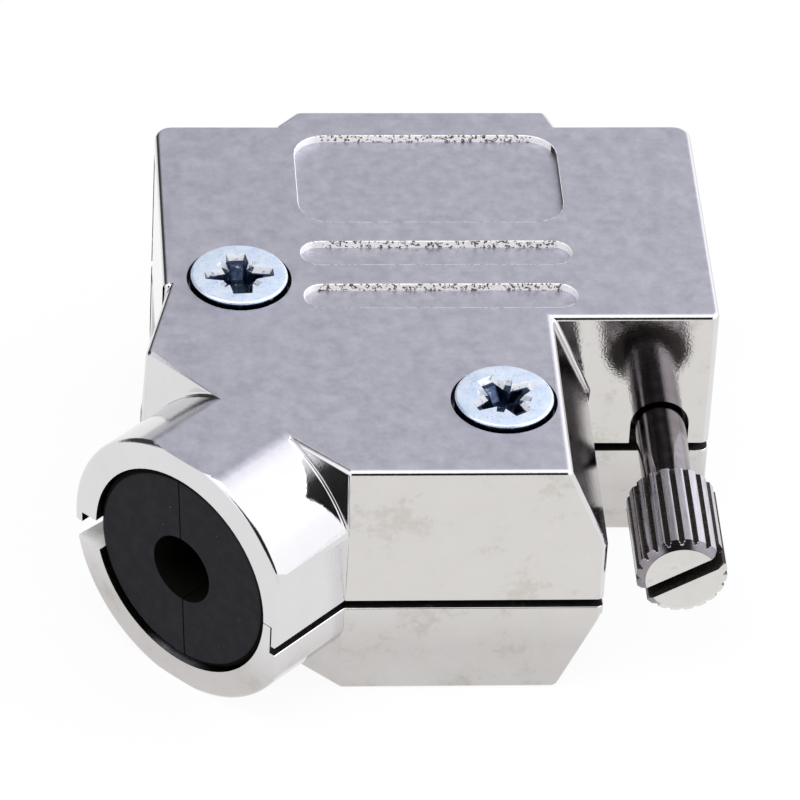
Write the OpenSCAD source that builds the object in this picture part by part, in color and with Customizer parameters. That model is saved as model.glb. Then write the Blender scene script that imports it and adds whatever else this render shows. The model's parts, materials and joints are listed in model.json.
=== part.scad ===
// Die-cast 45 degree cable hood with a 9-way D-sub socket, captive thumbscrews and a split grommet.
// Origin: middle of the line between the two thumbscrews, in the plane of the mating face.
// +Y leaves the mating face, +Z is the side of the assembly screw heads, sizes in millimetres.

/* [Hood] */
// Width across the mating end, with thumbscrews at the standard distance
hood_w = 30.8; // [30.4:0.1:33]
// Height of the closed hood
hood_h = 15.2; // [15:0.1:18]
// Distance from the mating face to the rear face of the ear
ear_len = 18.2; // [17.6:0.1:20]
// Distance from the mating face to the front face of the body
body_len = 31.9; // [31:0.1:36]
// Right side of the body at its top and bottom edges
body_right = 6.0; // [5.6:0.1:6.6]
// Left end of the front face, where the slanted face begins
front_left = 5.9; // [5.4:0.1:6.4]
// How far the elbow on the left side reaches from the middle
elbow_reach = 16.45; // [16:0.05:17]
// Distance from the mating face to the point where the left wall begins to lean out
shoulder_len = 15.1; // [14:0.1:16]
// How far the right side bulges out at mid height
belly_out = 2.3; // [1.5:0.1:2.6]
// Half height of the upright band of the bulge
belly_half_h = 2.4; // [2.2:0.1:3]
// Draft of the left wall at mid height
left_draft = 0.35; // [0:0.05:0.5]
// Thickness of the top and bottom walls
plate_t = 1.3; // [1.1:0.1:1.35]
// Thickness of the upright walls
wall_t = 1.4; // [1.2:0.1:1.6]
// Radius of the outer top and bottom edges
edge_r = 0.35; // [0.2:0.05:0.5]
// Radius of the upright corners at the mating end
corner_r = 1.0; // [0.6:0.1:1.4]

/* [Parting joint] */
// Height of the lower edge of the upper half's skirt
parting_z = -1.35; // [-1.6:0.05:-1.2]
// Open line between the two halves
parting_gap = 0.5; // [0.2:0.05:0.6]
// Thickness of the overlapping skirt
skirt_t = 0.65; // [0.5:0.05:0.7]
// Clearance between the skirt and the tongue behind it
lap_gap = 0.1; // [0.05:0.05:0.2]
// Extra depth of the slit on the outer side of the collar, in the lower half
collar_slit = 0.05; // [0.05:0.05:0.8]
// Extra height of the slit on the outer side of the collar, in the upper half
collar_notch = 0.7; // [0.1:0.05:0.8]
// Thickness of the skirt and its clearance on the flat side of the collar
flat_skirt = 0.4; // [0.35:0.05:0.45]

/* [Top face] */
// Width of the label recess
label_w = 15.0; // [12:0.1:16]
// Front to back length of the label recess
label_len = 8.25; // [6:0.05:8.6]
// Distance of the label recess from the mating face
label_start = 1.05; // [0.8:0.05:1.4]
// Length of the two cross slots
slot_len = 15.2; // [12:0.1:15.6]
// Width of the two cross slots
slot_w = 2.12; // [1.6:0.02:2.3]
// Distance of the first slot's middle from the mating face
slot_start = 12.22; // [11.6:0.02:12.4]
// Distance between the two slots
slot_pitch = 3.98; // [3.6:0.02:4.2]
// Depth of the recess and the slots
recess_depth = 0.45; // [0.3:0.05:0.6]
// Width of the lip's front edge
lip_w = 14.3; // [13:0.1:15]
// How far the lip stands in front of the mating face
lip_len = 1.4; // [1:0.1:1.8]
// How much further the lip's left end reaches at its root
lip_left_flare = 1.3; // [0.2:0.1:1.6]
// How much further the lip's right end reaches at its root
lip_right_flare = 0.5; // [0.2:0.1:1.6]

/* [Cable entry] */
// Outer diameter of the collar
collar_d = 15.8; // [15.4:0.1:16]
// Bore of the collar
collar_bore = 12.4; // [12:0.1:12.5]
// Length of the collar in front of the slanted face
collar_len = 5.6; // [4:0.05:6.5]
// Sideways shift of the collar on the slanted face
collar_shift = 0.35; // [0:0.05:0.5]
// Hole of the grommet for the cable
cable_d = 4.1; // [3:0.1:6]
// How far the grommet's face lies behind the collar's face
grommet_recess = 0.2; // [0.1:0.1:1]
// Clearance of the grommet in the collar
grommet_gap = 0.05; // [0.03:0.01:0.1]

/* [Fasteners] */
// Distance between the two thumbscrews
jack_pitch = 25.0; // [24.9:0.01:25.1]
// Diameter of the thumbscrew shank
shank_d = 2.84; // [2.7:0.02:2.9]
// Diameter of the thumbscrew thread
thread_d = 2.84; // [2.7:0.02:2.9]
// Diameter over the knurl
knurl_d = 5.0; // [4.6:0.1:5.2]
// Number of knurl ridges
knurl_count = 20; // [16:1:24]
// Length of the right knurl
knurl_len = 6.4; // [5:0.1:7]
// Bare shank between the ear and the right knurl
shank_bare = 6.7; // [5.6:0.1:7.5]
// Diameter over the left knurl
short_knurl_d = 4.4; // [4:0.1:4.6]
// Length of the left knurl
short_knurl_len = 3.5; // [3:0.1:3.6]
// Axial travel of each thumbscrew
jack_travel = 4.2; // [3.6:0.1:4.2]
// Thread in front of the mating face when the screws are drawn back
thread_out = 1.8; // [1.2:0.1:2.5]
// Diameter of the assembly screws
screw_d = 3.0; // [2.6:0.1:3.2]
// Head diameter of the assembly screws
head_d = 5.4; // [5:0.1:5.5]
// How far the heads stand out of the top face
head_proud = 0.35; // [0.2:0.05:0.5]

/* [Connector] */
// Width of the connector flange, with thumbscrews at the standard distance
flange_w = 30.5; // [30:0.1:30.8]
// Height of the connector flange
flange_h = 12.5; // [12:0.1:12.55]
// Thickness of one flange plate
flange_t = 0.5; // [0.4:0.05:0.5]
// Width of the D-shaped nose
nose_w = 16.33; // [16:0.01:16.6]
// Height of the D-shaped nose
nose_h = 7.9; // [7.7:0.01:8.1]
// Length of the nose in front of the flange
nose_len = 6.0; // [5.6:0.1:6.4]
// Sheet thickness of the nose and the rear box
sheet_t = 0.4; // [0.3:0.05:0.5]
// Distance between neighbouring contacts of a row
contact_pitch = 2.77; // [2.7:0.01:2.8]
// Distance between the two contact rows
row_pitch = 2.84; // [2.8:0.01:2.9]
// Diameter of a contact
contact_d = 1.6; // [1.4:0.05:1.7]

/* [Hidden] */
CONTACTS = 9;
STANDARD_PITCH = 25;
ENTRY_ANGLE = 225;
D_SLOPE = 10;
SIDES = [-1, 1];
$fn = 64;
eps = 0.02;
far = 60;
corner_steps = 6;
fillet_steps = 3;

half_h = hood_h / 2;
jack_x = jack_pitch / 2;
wider = jack_pitch - STANDARD_PITCH;
half_w = (hood_w + wider) / 2;
elbow_y = -body_len + elbow_reach - front_left;
elbow = [-elbow_reach - left_draft, elbow_y + left_draft];
belly_x = body_right + belly_out;
entry_mid = [-(elbow_reach + front_left) / 2, (elbow_y - body_len) / 2];
cable_dir = [cos(ENTRY_ANGLE), sin(ENTRY_ANGLE)];
across_cable = [-cable_dir[1], cable_dir[0]];
entry_at = entry_mid + collar_shift * across_cable;
collar_side = ([-front_left, -body_len] - entry_at) * across_cable;
lower_top = parting_z - parting_gap;
tongue_top = -0.08;

screw_left = [-jack_x + 1.35, -14.6];
screw_right = [2.8, -25.65];
screw_turn = [4, 32];
head_seat = half_h - 1.15;
head_clear = 0.22;
screw_clear = 0.15;
boss_r = screw_d / 2 + 1.5;
thread_gap = 0.03;
hole_end = -half_h + 1.2;
screw_end = hole_end + 0.5;

neck_r = 1.2;
shank_clear = 0.23;
flange_front = -1.1;
flange_mid = flange_front - flange_t;
flange_back = flange_mid - flange_t;
flange_gap = 0.05;
rib_back = flange_back - flange_gap - 1.15;
knurl_clear = 0.2;
ring_t = 0.5;
ring_gap = 0.05;
ring_r = 2.2;
groove_r = 1.0;
ring_bore_gap = 0.06;
stop_gap = 0.3;
pocket_back = screw_left[1] + screw_d / 2 + screw_clear + 0.8;
pocket_r = short_knurl_d / 2 + knurl_clear;
pocket_in = -jack_x + 2.7;
short_knurl_back = pocket_back + knurl_clear;
short_knurl_front = short_knurl_back + short_knurl_len;
ring_left_y = short_knurl_front + ring_gap;
ear_wall = -ear_len + wall_t;
ring_right_y = ear_wall + stop_gap;
rib_stop = ring_right_y + ring_t + jack_travel + stop_gap;
ear_half = 2.5;
knurl_front = -ear_len - shank_bare;
knurl_back = knurl_front - knurl_len;
slot_turn = 30;

box_w = jack_pitch - 6.4;
box_h = 10.4;
box_len = 4.0;
window_gap = 0.2;
fit_gap = 0.05;
chamber_right = jack_x - 2.9;
chamber_left = -8.2;
chamber_half_h = half_h - plate_t;
body_chamber_right = body_right - 0.8;

collar_root = 1.2;
bore_in = 4.6;
bore_rib_r = collar_bore / 2 - 0.7;
bore_rib_from = 0.8;
bore_rib_len = 1.0;
slit_from = bore_rib_from + bore_rib_len + 0.6;
grommet_r = collar_bore / 2 - grommet_gap;
grommet_front = collar_len - grommet_recess;
grommet_back = -3.4;
grommet_split = 0.04;
split_turn = 4;

function unit(v) = v / norm(v);

// Points of a round of radius r in the corner b between a and c, or the sharp corner
function corner_arc(a, b, c, r) = r == 0 ? [b] :
    let (u = unit(a - b), v = unit(c - b), half = acos(u * v) / 2)
    let (mid = b + unit(u + v) * r / sin(half))
    let (p = b + u * r / tan(half) - mid, q = b + v * r / tan(half) - mid)
    let (from = atan2(p[1], p[0]), turn = atan2(p[0] * q[1] - p[1] * q[0], p * q))
    [for (k = [0:corner_steps]) let (g = from + turn * k / corner_steps) mid + r * [cos(g), sin(g)]];

function rounded(points, radii) =
    let (n = len(points))
    [for (i = [0:n - 1]) each corner_arc(points[(i + n - 1) % n], points[i], points[(i + 1) % n], radii[i])];

// The outline moved inwards by d, for points that run counter-clockwise
function inset(points, d) =
    let (n = len(points))
    [for (i = [0:n - 1])
        let (e = unit(points[i] - points[(i + n - 1) % n]), f = unit(points[(i + 1) % n] - points[i]))
        let (m = [-e[1], e[0]], k = [-f[1], f[0]])
        points[i] + d * (m + k) / (1 + m * k)];

// Corners of the hood at its widest height, seen from above
plan = [
    [half_w, 0], [-half_w, 0], [-half_w, -shoulder_len], elbow, [-front_left, -body_len], [belly_x, -body_len],
    [belly_x, -ear_len], [half_w, -ear_len]];
plan_radii = [corner_r, corner_r, 2 * corner_r, 0.4, 0.4, 0.4, 0, 0.5];

function rounded_box(w, l, r) =
    rounded([[w / 2, l / 2], [-w / 2, l / 2], [-w / 2, -l / 2], [w / 2, -l / 2]], [r, r, r, r]);

function moved(points, by) = [for (p = points) p + by];

// D outline with the wide side up
function d_outline(w, h, r) =
    let (narrow = w / 2 - h * tan(D_SLOPE))
    rounded([[w / 2, h / 2], [-w / 2, h / 2], [-narrow, -h / 2], [narrow, -h / 2]], [r, r, r, r]);

// Extrudes an X-Z outline along +Y
module along_y(from, length) {
    translate([0, from, 0]) rotate([-90, 0, 0]) linear_extrude(length) mirror([0, 1, 0]) children();
}

module rod_y(x, from, to, r, z = 0) {
    translate([x, from, z]) rotate([-90, 0, 0]) cylinder(r = r, h = to - from);
}

// Turns local +Z to the direction of the cable, from the slanted face outwards
module along_cable() {
    translate([entry_at[0], entry_at[1], 0]) rotate([0, 0, ENTRY_ANGLE]) rotate([0, 90, 0]) children();
}

module slab(from, to) {
    translate([-far / 2, -far, from]) cube([far, 1.5 * far, to - from]);
}

// Half space around the cable's axis, up to a plane on the side of the front face
module beside_cable(side) {
    translate([-far / 2, side - far, -far / 2]) cube(far);
}

// The collar as a round with a rounded front edge and a flat side in line with the front face's corner
module collar(r) {
    along_cable() intersection() {
        rotate_extrude() polygon(concat(
            [[0, -collar_root], [r, -collar_root]],
            [for (k = [0:fillet_steps]) let (g = 90 * k / fillet_steps)
                [r - edge_r + edge_r * cos(g), collar_len - edge_r + edge_r * sin(g)]],
            [[0, collar_len]]));
        beside_cable(collar_side);
    }
}

// The leaning upper part of the right side and of the left wall, cut from the widest outline
module lean_cuts() {
    slope = belly_out / (half_h - belly_half_h);
    translate([0, -ear_len, 0]) rotate([90, 0, 0]) linear_extrude(far) polygon([
        [belly_x, belly_half_h], [belly_x - slope * far / 4, belly_half_h + far / 4],
        [far, belly_half_h + far / 4], [far, belly_half_h]]);
    wall = [-half_w, -shoulder_len] - elbow;
    translate([elbow[0], elbow[1], 0]) rotate([0, 0, atan2(wall[1], wall[0])]) rotate([0, 90, 0])
        translate([0, 0, -1]) linear_extrude(norm(wall) + 1) polygon([
            [-belly_half_h, 0], [-half_h - 1, -left_draft], [-half_h - 1, far], [-belly_half_h, far]]);
}

// The lip at the mating end, seen from above
function lip_plan() =
    let (tip = lip_w / 2, left = -tip - lip_left_flare, right = tip + lip_right_flare, root = -2 * corner_r)
    rounded(
        [[tip, lip_len], [-tip, lip_len], [left, 0], [left, root], [right, root], [right, 0]],
        [0.4, 0.6, 0.4, 0.4, 0.4, 0.3]);

// Solid outer form between two heights
module outer(from, to) {
    inner_half = half_h - plate_t + 0.1;
    difference() {
        intersection() {
            union() {
                translate([0, 0, -hood_h]) linear_extrude(2 * hood_h) polygon(rounded(plan, plan_radii));
                translate([0, 0, -hood_h]) linear_extrude(2 * hood_h) polygon(lip_plan());
                collar(collar_d / 2);
            }
            slab(from, to);
        }
        lean_cuts();
        mirror([0, 0, 1]) lean_cuts();
        translate([-lip_w, 0, -inner_half]) cube([2 * lip_w, far, 2 * inner_half]);
    }
}

// What lies behind the skirt of the upper half
module lap_core(gap) {
    foot = lower_top - 1;
    top = tongue_top + gap / 2;
    translate([0, 0, foot]) linear_extrude(top - foot) polygon(inset(plan, skirt_t + lap_gap - gap));
    intersection() {
        along_cable() intersection() {
            translate([0, 0, -collar_root])
                cylinder(r = collar_d / 2 - skirt_t - lap_gap + gap, h = collar_root + collar_len + 20 * gap);
            beside_cable(collar_side - flat_skirt + gap);
        }
        slab(foot, top);
    }
}

// Room for the connector, the wires and the bosses, seen from above
module chamber_plan() {
    inner = entry_at - (bore_in - 0.3) * cable_dir;
    across = (collar_bore / 2 - 0.6) * across_cable;
    difference() {
        polygon([
            [chamber_right, rib_back + eps], [pocket_in - eps, rib_back + eps],
            [pocket_in - eps, flange_mid - box_len - 1], [chamber_left, flange_mid - box_len - 1],
            [chamber_left, screw_left[1] - boss_r - 0.4], inner - across, inner + across,
            [inner[0] + across[0], -body_len + wall_t], [body_chamber_right, -body_len + wall_t],
            [body_chamber_right, ear_wall], [chamber_right, ear_wall]]);
        translate(screw_right) circle(boss_r);
    }
}

// Bore of the collar with the rib that holds the grommet
module cable_bore() {
    r = collar_bore / 2;
    along_cable() rotate_extrude() polygon([
        [0, -bore_in], [bore_rib_r, -bore_in], [bore_rib_r, grommet_back - 0.1], [r, grommet_back - 0.1],
        [r, bore_rib_from], [bore_rib_r, bore_rib_from], [bore_rib_r, bore_rib_from + bore_rib_len],
        [r, bore_rib_from + bore_rib_len], [r, collar_len + 1], [0, collar_len + 1]]);
}

// Slit between the two halves on the outer side of the collar, from one height down to another
module side_slit(from, to) {
    along_cable() translate([-from, -far, slit_from]) cube([from - to, far - bore_rib_r, far]);
}

// Path of a thumbscrew shank: a bore that is open down to the parting line
module shank_way(x, from, to) {
    r = shank_d / 2 + shank_clear;
    rod_y(x, from, to, r);
    translate([x - r, from, parting_z - 0.1]) cube([2 * r, to - from, 0.1 - parting_z]);
}

// Groove of the flange and the windows in front of and behind it
module connector_seat() {
    groove_half = flange_h / 2 + 2 * flange_gap;
    translate([-far / 2, flange_back - flange_gap, -groove_half])
        cube([far, 2 * (flange_t + flange_gap), 2 * groove_half]);
    along_y(flange_front - eps, far) polygon(rounded_box(nose_w + 3.2, nose_h + 2.8, 1.5));
    along_y(rib_back - 0.5, flange_t + 1.5)
        polygon(rounded_box(box_w + 2 * window_gap, box_h + 2 * window_gap, 1));
}

// Everything that is hollow in both halves; the left grip's pocket opens below and at the lower left
module hollow() {
    translate([0, 0, -chamber_half_h]) linear_extrude(2 * chamber_half_h) chamber_plan();
    cable_bore();
    connector_seat();
    shank_way(jack_x, -ear_len - 1, 1);
    translate([jack_x - ear_half, ear_wall, -ear_half]) cube([2 * ear_half, rib_stop - ear_wall, 2 * ear_half]);
    shank_way(-jack_x, rib_back - 1, 1);
    pocket_len = rib_back - pocket_back;
    translate([-jack_x - pocket_r, pocket_back, -far])
        cube([jack_x + pocket_r + pocket_in, pocket_len, far + pocket_r]);
    translate([-far, pocket_back, lower_top - far]) cube([far + pocket_in, pocket_len, far]);
}

// A shallow recess of the top face
module top_recess(plan) {
    translate([0, 0, half_h - recess_depth]) linear_extrude(1) polygon(plan);
}

module upper_shell() {
    color([0.74, 0.74, 0.76]) difference() {
        outer(parting_z, half_h);
        lap_core(lap_gap);
        hollow();
        top_recess(moved(rounded_box(label_w, label_len, 1.8), [0, -label_start - label_len / 2]));
        for (k = [0:1])
            top_recess(moved(rounded_box(slot_len, slot_w, slot_w / 2 - eps), [0, -slot_start - k * slot_pitch]));
        side_slit(parting_z + collar_notch, lower_top);
        for (p = [screw_left, screw_right]) translate([p[0], p[1], 0]) {
            translate([0, 0, head_seat]) cylinder(r = head_d / 2 + head_clear, h = far);
            translate([0, 0, -half_h]) cylinder(r = screw_d / 2 + screw_clear, h = hood_h);
        }
    }
}

module lower_shell() {
    color([0.70, 0.69, 0.69]) difference() {
        union() {
            outer(-half_h, lower_top);
            lap_core(0);
        }
        hollow();
        for (p = [screw_left, screw_right])
            translate([p[0], p[1], hole_end]) cylinder(r = screw_d / 2 + thread_gap, h = far);
        side_slit(1, lower_top - collar_slit);
    }
}

// Cross recess of a screw head with tick marks between its wings, cut down from local zero
module cross_recess() {
    tip = 1.85;
    root = 0.6;
    for (g = [0, 90]) rotate(g) translate([0, 0, -0.6]) linear_extrude(1) polygon([
        [-tip, -0.24], [-root, -0.44], [root, -0.44], [tip, -0.24],
        [tip, 0.24], [root, 0.44], [-root, 0.44], [-tip, 0.24]]);
    for (g = [45, 135]) rotate(g) translate([-1.4, -0.11, -0.25]) cube([2.8, 0.22, 1]);
    translate([0, 0, -1.0]) cylinder(r1 = 0.55, r2 = 0.95, h = 1.1);
}

module assembly_screw(at, turn) {
    top = half_h + head_proud;
    round_r = 0.25;
    color([0.66, 0.72, 0.82]) translate([at[0], at[1], 0]) difference() {
        union() {
            rotate_extrude() polygon(concat(
                [[0, head_seat], [head_d / 2, head_seat]],
                [for (k = [0:fillet_steps]) let (g = 90 * k / fillet_steps)
                    [head_d / 2 - round_r + round_r * cos(g), top - round_r + round_r * sin(g)]],
                [[0, top]]));
            translate([0, 0, screw_end]) cylinder(d = screw_d, h = head_seat - screw_end + eps);
        }
        translate([0, 0, top]) rotate(turn) cross_recess();
    }
}

// Ridged grip between two places on the Y axis
module knurl(from, to, r) {
    bevel = 0.3;
    depth = 0.26;
    step = 360 / knurl_count;
    intersection() {
        along_y(from, to - from) polygon([for (i = [0:knurl_count - 1]) each [
            r * [cos(i * step), sin(i * step)],
            r * [cos((i + 0.35) * step), sin((i + 0.35) * step)],
            (r - depth) * [cos((i + 0.675) * step), sin((i + 0.675) * step)]]]);
        translate([0, from, 0]) rotate([-90, 0, 0]) rotate_extrude() polygon([
            [0, 0], [r - bevel, 0], [r + eps, bevel], [r + eps, to - from - bevel], [r - bevel, to - from],
            [0, to - from]]);
    }
}

// Thread in front of the mating face, with a bevelled tip
module thread() {
    r = thread_d / 2;
    bevel = 0.3;
    rotate([-90, 0, 0]) rotate_extrude() polygon([
        [r, 0], [r, thread_out - bevel], [r - bevel, thread_out], [0, thread_out], [0, 0]]);
}

// Shank with its ring groove and a slimmer neck up to the thread
module shank(from, groove_at) {
    r = shank_d / 2;
    groove_back = groove_at - ring_gap - from;
    groove_front = groove_at + ring_t + ring_gap - from;
    translate([0, from, 0]) rotate([-90, 0, 0]) rotate_extrude() polygon([
        [0, 0], [r, 0], [r, groove_back], [groove_r, groove_back], [groove_r, groove_front],
        [neck_r, groove_front], [neck_r, eps - from], [0, eps - from]]);
}

// Screwdriver slot across the end of a grip
module end_slot(at, depth) {
    translate([0, at, 0]) rotate([0, -slot_turn, 0]) translate([-knurl_d, -1, -0.4])
        cube([2 * knurl_d, depth + 1, 0.8]);
}

module thumbscrew_right() {
    disc_r = 2.32;
    disc_t = 0.45;
    color([0.50, 0.49, 0.50]) translate([jack_x, 0, 0]) difference() {
        union() {
            thread();
            shank(knurl_front - eps, ring_right_y);
            knurl(knurl_back, knurl_front, knurl_d / 2);
            rod_y(0, knurl_back - disc_t, knurl_back + eps, disc_r);
        }
        end_slot(knurl_back - disc_t, 1.2);
    }
}

module thumbscrew_left() {
    color([0.50, 0.49, 0.50]) translate([-jack_x, 0, 0]) difference() {
        union() {
            thread();
            shank(short_knurl_front - eps, ring_left_y + ring_gap);
            knurl(short_knurl_back, short_knurl_front, short_knurl_d / 2);
        }
        end_slot(short_knurl_back, 0.8);
    }
}

// Open spring ring that seats in the groove of a shank
module retaining_ring(x, from, turn) {
    color([0.35, 0.35, 0.37]) difference() {
        rod_y(x, from, from + ring_t, ring_r);
        rod_y(x, from - 1, from + ring_t + 1, groove_r + ring_bore_gap);
        translate([x, from, 0]) rotate([0, turn, 0]) translate([-0.85, -1, 0]) cube([1.7, ring_t + 2, far]);
    }
}

module grommet_half(side) {
    groove = bore_rib_r - grommet_gap;
    color([0.10, 0.10, 0.11]) along_cable() intersection() {
        rotate_extrude() polygon([
            [cable_d / 2, grommet_back], [grommet_r, grommet_back], [grommet_r, bore_rib_from - 0.05],
            [groove, bore_rib_from - 0.05], [groove, bore_rib_from + bore_rib_len + 0.05],
            [grommet_r, bore_rib_from + bore_rib_len + 0.05], [grommet_r, grommet_front],
            [cable_d / 2, grommet_front]]);
        rotate(split_turn) translate([-far / 2, side > 0 ? grommet_split : -far - grommet_split, -far / 2])
            cube([far, far, far]);
    }
}

module flange_plate(from) {
    along_y(from, flange_t) difference() {
        polygon(rounded_box(flange_w + wider, flange_h, 1));
        for (s = SIDES) translate([s * jack_x, 0]) circle(r = 1.56);
    }
}

module connector_front_shell() {
    inner = inset(d_outline(nose_w, nose_h, 2.6), sheet_t);
    color([0.78, 0.77, 0.72]) difference() {
        union() {
            flange_plate(flange_mid);
            along_y(flange_mid, flange_t + nose_len) polygon(d_outline(nose_w, nose_h, 2.6));
        }
        along_y(flange_mid - 1, far) polygon(inner);
    }
}

module connector_rear_shell() {
    color([0.78, 0.77, 0.72]) difference() {
        union() {
            flange_plate(flange_back);
            along_y(flange_mid - box_len, box_len) polygon(rounded_box(box_w, box_h, 1.2));
        }
        along_y(flange_mid - box_len + sheet_t, far)
            polygon(rounded_box(box_w - 2 * sheet_t, box_h - 2 * sheet_t, 0.8));
        along_y(flange_mid - far, far) polygon(rounded_box(box_w - 2, box_h - 2, 0.8));
    }
}

// Places of the contacts in the X-Z plane: five above, four below
function contact_at(i) =
    i < 5 ? [(i - 2) * contact_pitch, row_pitch / 2] : [(i - 6.5) * contact_pitch, -row_pitch / 2];

module contact_holes(from, to, r) {
    for (i = [0:CONTACTS - 1]) rod_y(contact_at(i)[0], from, to, r, contact_at(i)[1]);
}

insulator_front = flange_front + nose_len - 0.1;
contact_front = insulator_front - 0.8;
contact_hole = contact_d / 2 + fit_gap;

module front_insulator() {
    color([0.12, 0.12, 0.13]) difference() {
        along_y(flange_mid, insulator_front - flange_mid)
            polygon(inset(d_outline(nose_w, nose_h, 2.6), sheet_t + fit_gap));
        contact_holes(flange_mid - 1, contact_front + fit_gap, contact_hole);
        contact_holes(flange_mid, insulator_front + 1, 0.55);
    }
}

module rear_insulator() {
    step = flange_mid - box_len + sheet_t + fit_gap;
    color([0.12, 0.12, 0.13]) difference() {
        union() {
            along_y(step, flange_mid - step)
                polygon(rounded_box(box_w - 2 * sheet_t - 2 * fit_gap, box_h - 2 * sheet_t - 2 * fit_gap, 0.7));
            along_y(step - 1.2, 1.2 + eps)
                polygon(rounded_box(box_w - 2 - 2 * fit_gap, box_h - 2 - 2 * fit_gap, 0.7));
        }
        contact_holes(step - 3, flange_mid + 1, contact_hole);
    }
}

// Turned socket contact with a solder cup at its rear end
module contact(i) {
    at = contact_at(i);
    rear = flange_mid - box_len - 4.6;
    cup = 2.6;
    color([0.83, 0.68, 0.30]) difference() {
        rod_y(at[0], rear, contact_front, contact_d / 2, at[1]);
        rod_y(at[0], contact_front - 5, contact_front + 1, 0.52, at[1]);
        rod_y(at[0], rear - 1, rear + cup, 0.55, at[1]);
        translate([at[0] - 1, rear - 1, at[1] + 0.15 * sign(at[1]) - (at[1] > 0 ? 0 : 2)])
            cube([2, 1 + 0.7 * cup, 2]);
    }
}

upper_shell();
lower_shell();
assembly_screw(screw_left, screw_turn[0]);  // assembly_screw_left
assembly_screw(screw_right, screw_turn[1]);  // assembly_screw_right
thumbscrew_right();
retaining_ring(jack_x, ring_right_y, 180);  // retaining_ring_right
thumbscrew_left();
retaining_ring(-jack_x, ring_left_y + ring_gap, 180);  // retaining_ring_left
grommet_half(-1);  // grommet_half_left
grommet_half(1);  // grommet_half_right
connector_front_shell();
connector_rear_shell();
front_insulator();
rear_insulator();
for (i = [0:CONTACTS - 1])
    contact(i);
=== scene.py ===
"""Looks of a D-sub cable connector with a slanted die-cast hood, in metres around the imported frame."""
import json
import math

import bmesh
import bpy
from mathutils import Matrix, Vector
from mathutils.bvhtree import BVHTree


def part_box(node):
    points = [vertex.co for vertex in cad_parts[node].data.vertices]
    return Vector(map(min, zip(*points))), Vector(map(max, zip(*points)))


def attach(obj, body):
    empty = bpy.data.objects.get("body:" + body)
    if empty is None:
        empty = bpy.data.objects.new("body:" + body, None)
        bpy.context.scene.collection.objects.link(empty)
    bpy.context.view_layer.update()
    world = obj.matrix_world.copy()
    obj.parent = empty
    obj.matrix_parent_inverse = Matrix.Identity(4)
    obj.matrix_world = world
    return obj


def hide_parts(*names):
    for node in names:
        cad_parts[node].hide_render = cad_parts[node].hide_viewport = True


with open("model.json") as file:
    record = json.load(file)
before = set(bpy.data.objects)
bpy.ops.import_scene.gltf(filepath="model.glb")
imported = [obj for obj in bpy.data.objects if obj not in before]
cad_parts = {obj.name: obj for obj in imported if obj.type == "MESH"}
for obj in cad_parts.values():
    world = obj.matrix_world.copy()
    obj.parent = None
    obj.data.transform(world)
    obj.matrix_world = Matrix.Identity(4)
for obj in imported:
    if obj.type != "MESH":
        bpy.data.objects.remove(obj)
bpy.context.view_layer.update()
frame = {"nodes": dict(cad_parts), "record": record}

MM = 0.001
SLOT_OF = {part["node"]: part["material_slot"] for part in frame["record"]["subparts"]}
BODY_OF = {n: body for body, nodes in frame["record"]["behaviour"]["bodies"].items() for n in nodes}

# Camera of the photograph: where it stands, how it is turned and its focal length in pixels
IMAGE_PX = 800
SENSOR_MM = 36.0
CAMERA_AT = Vector((-29.96, -307.4, 228.4)) * MM
CAMERA_AZIMUTH = math.radians(5.49)
CAMERA_ELEVATION = math.radians(37.95)
CAMERA_ROLL = math.radians(3.18)
FOCAL_PX = 6613.0

# Places and sizes that the source gives, in millimetres
TOP_Z = 7.6
HALF_W = 15.4
SKIRT_END = -1.35
TONGUE_TOP = -0.08
SCREW_AXES = {
    "assembly_screw_left": Vector((-11.15, -14.6)), "assembly_screw_right": Vector((2.8, -25.65)),
}
JACK_X = 12.5
THREAD_TIP = 1.8
HEAD_H = 1.5
HEAD_R = 2.7
SCREW_R = 1.5
COUNTERBORE_R = 2.92
COUNTERBORE_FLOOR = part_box("assembly_screw_left")[1][2] / MM - HEAD_H
LEDGE_TOP = -1.85
COLLAR_AT = Vector((-10.9275, -26.8725, 0.0))
CABLE_DIR = Vector((-math.sqrt(0.5), -math.sqrt(0.5), 0.0))
COLLAR_R = 7.9
COLLAR_LEN = 5.6
RIM_ROUND = 0.35
CABLE_R = 2.05
SHOULDER = Vector((-HALF_W, -15.1))
BELLY_HALF = 2.4
SHANK_R = 1.42
NECK_R = 1.2
GROOVE_R = 1.0
THREAD_R = 1.42
THREAD_PITCH = 0.635
KNURL_COUNT = 20
SLOT_TURN = math.radians(30)
SLOT_HALF = 0.4

# Rooms that hold a feature of the hood, as limits along each axis in millimetres
EAR_CORNER = ((6.5, 11.0), (-20.0, -17.5), (-1.0, 8.0))
RECESSES = ((-7.9, 7.9), (-17.6, -0.8), (7.13, 8.0))
LABEL_RECESS = ((-7.9, 7.9), (-9.6, -0.8), (7.13, 8.0))
FLANGE_SLOTS = ((HALF_W - 0.05, HALF_W + 0.05), (-2.3, -1.02), (-1.0, 7.0))

# Rounding of the hood: the full radius, and the share of it that finer edges get
EDGE_ROUND = 0.32
EDGE_STEPS = 4
JOINT_SHARE = 0.25
ROOT_SHARE = 0.6
GUSSET_SHARE = 0.7
RIM_SHARE = 0.2

# How near places count as the same, in millimetres
NEAR = 0.02
MARGIN = 0.1

# Part of a face's normal along an axis: beyond FACING it looks that way, beyond LEANING it leans that way,
# and below RUNNING the face runs beside the axis
FACING = 0.9
LEANING = 0.3
RUNNING = 0.5


def new_object(name, data):
    piece = bpy.data.objects.new(name, data)
    bpy.context.scene.collection.objects.link(piece)
    return piece


# Materials

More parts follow.
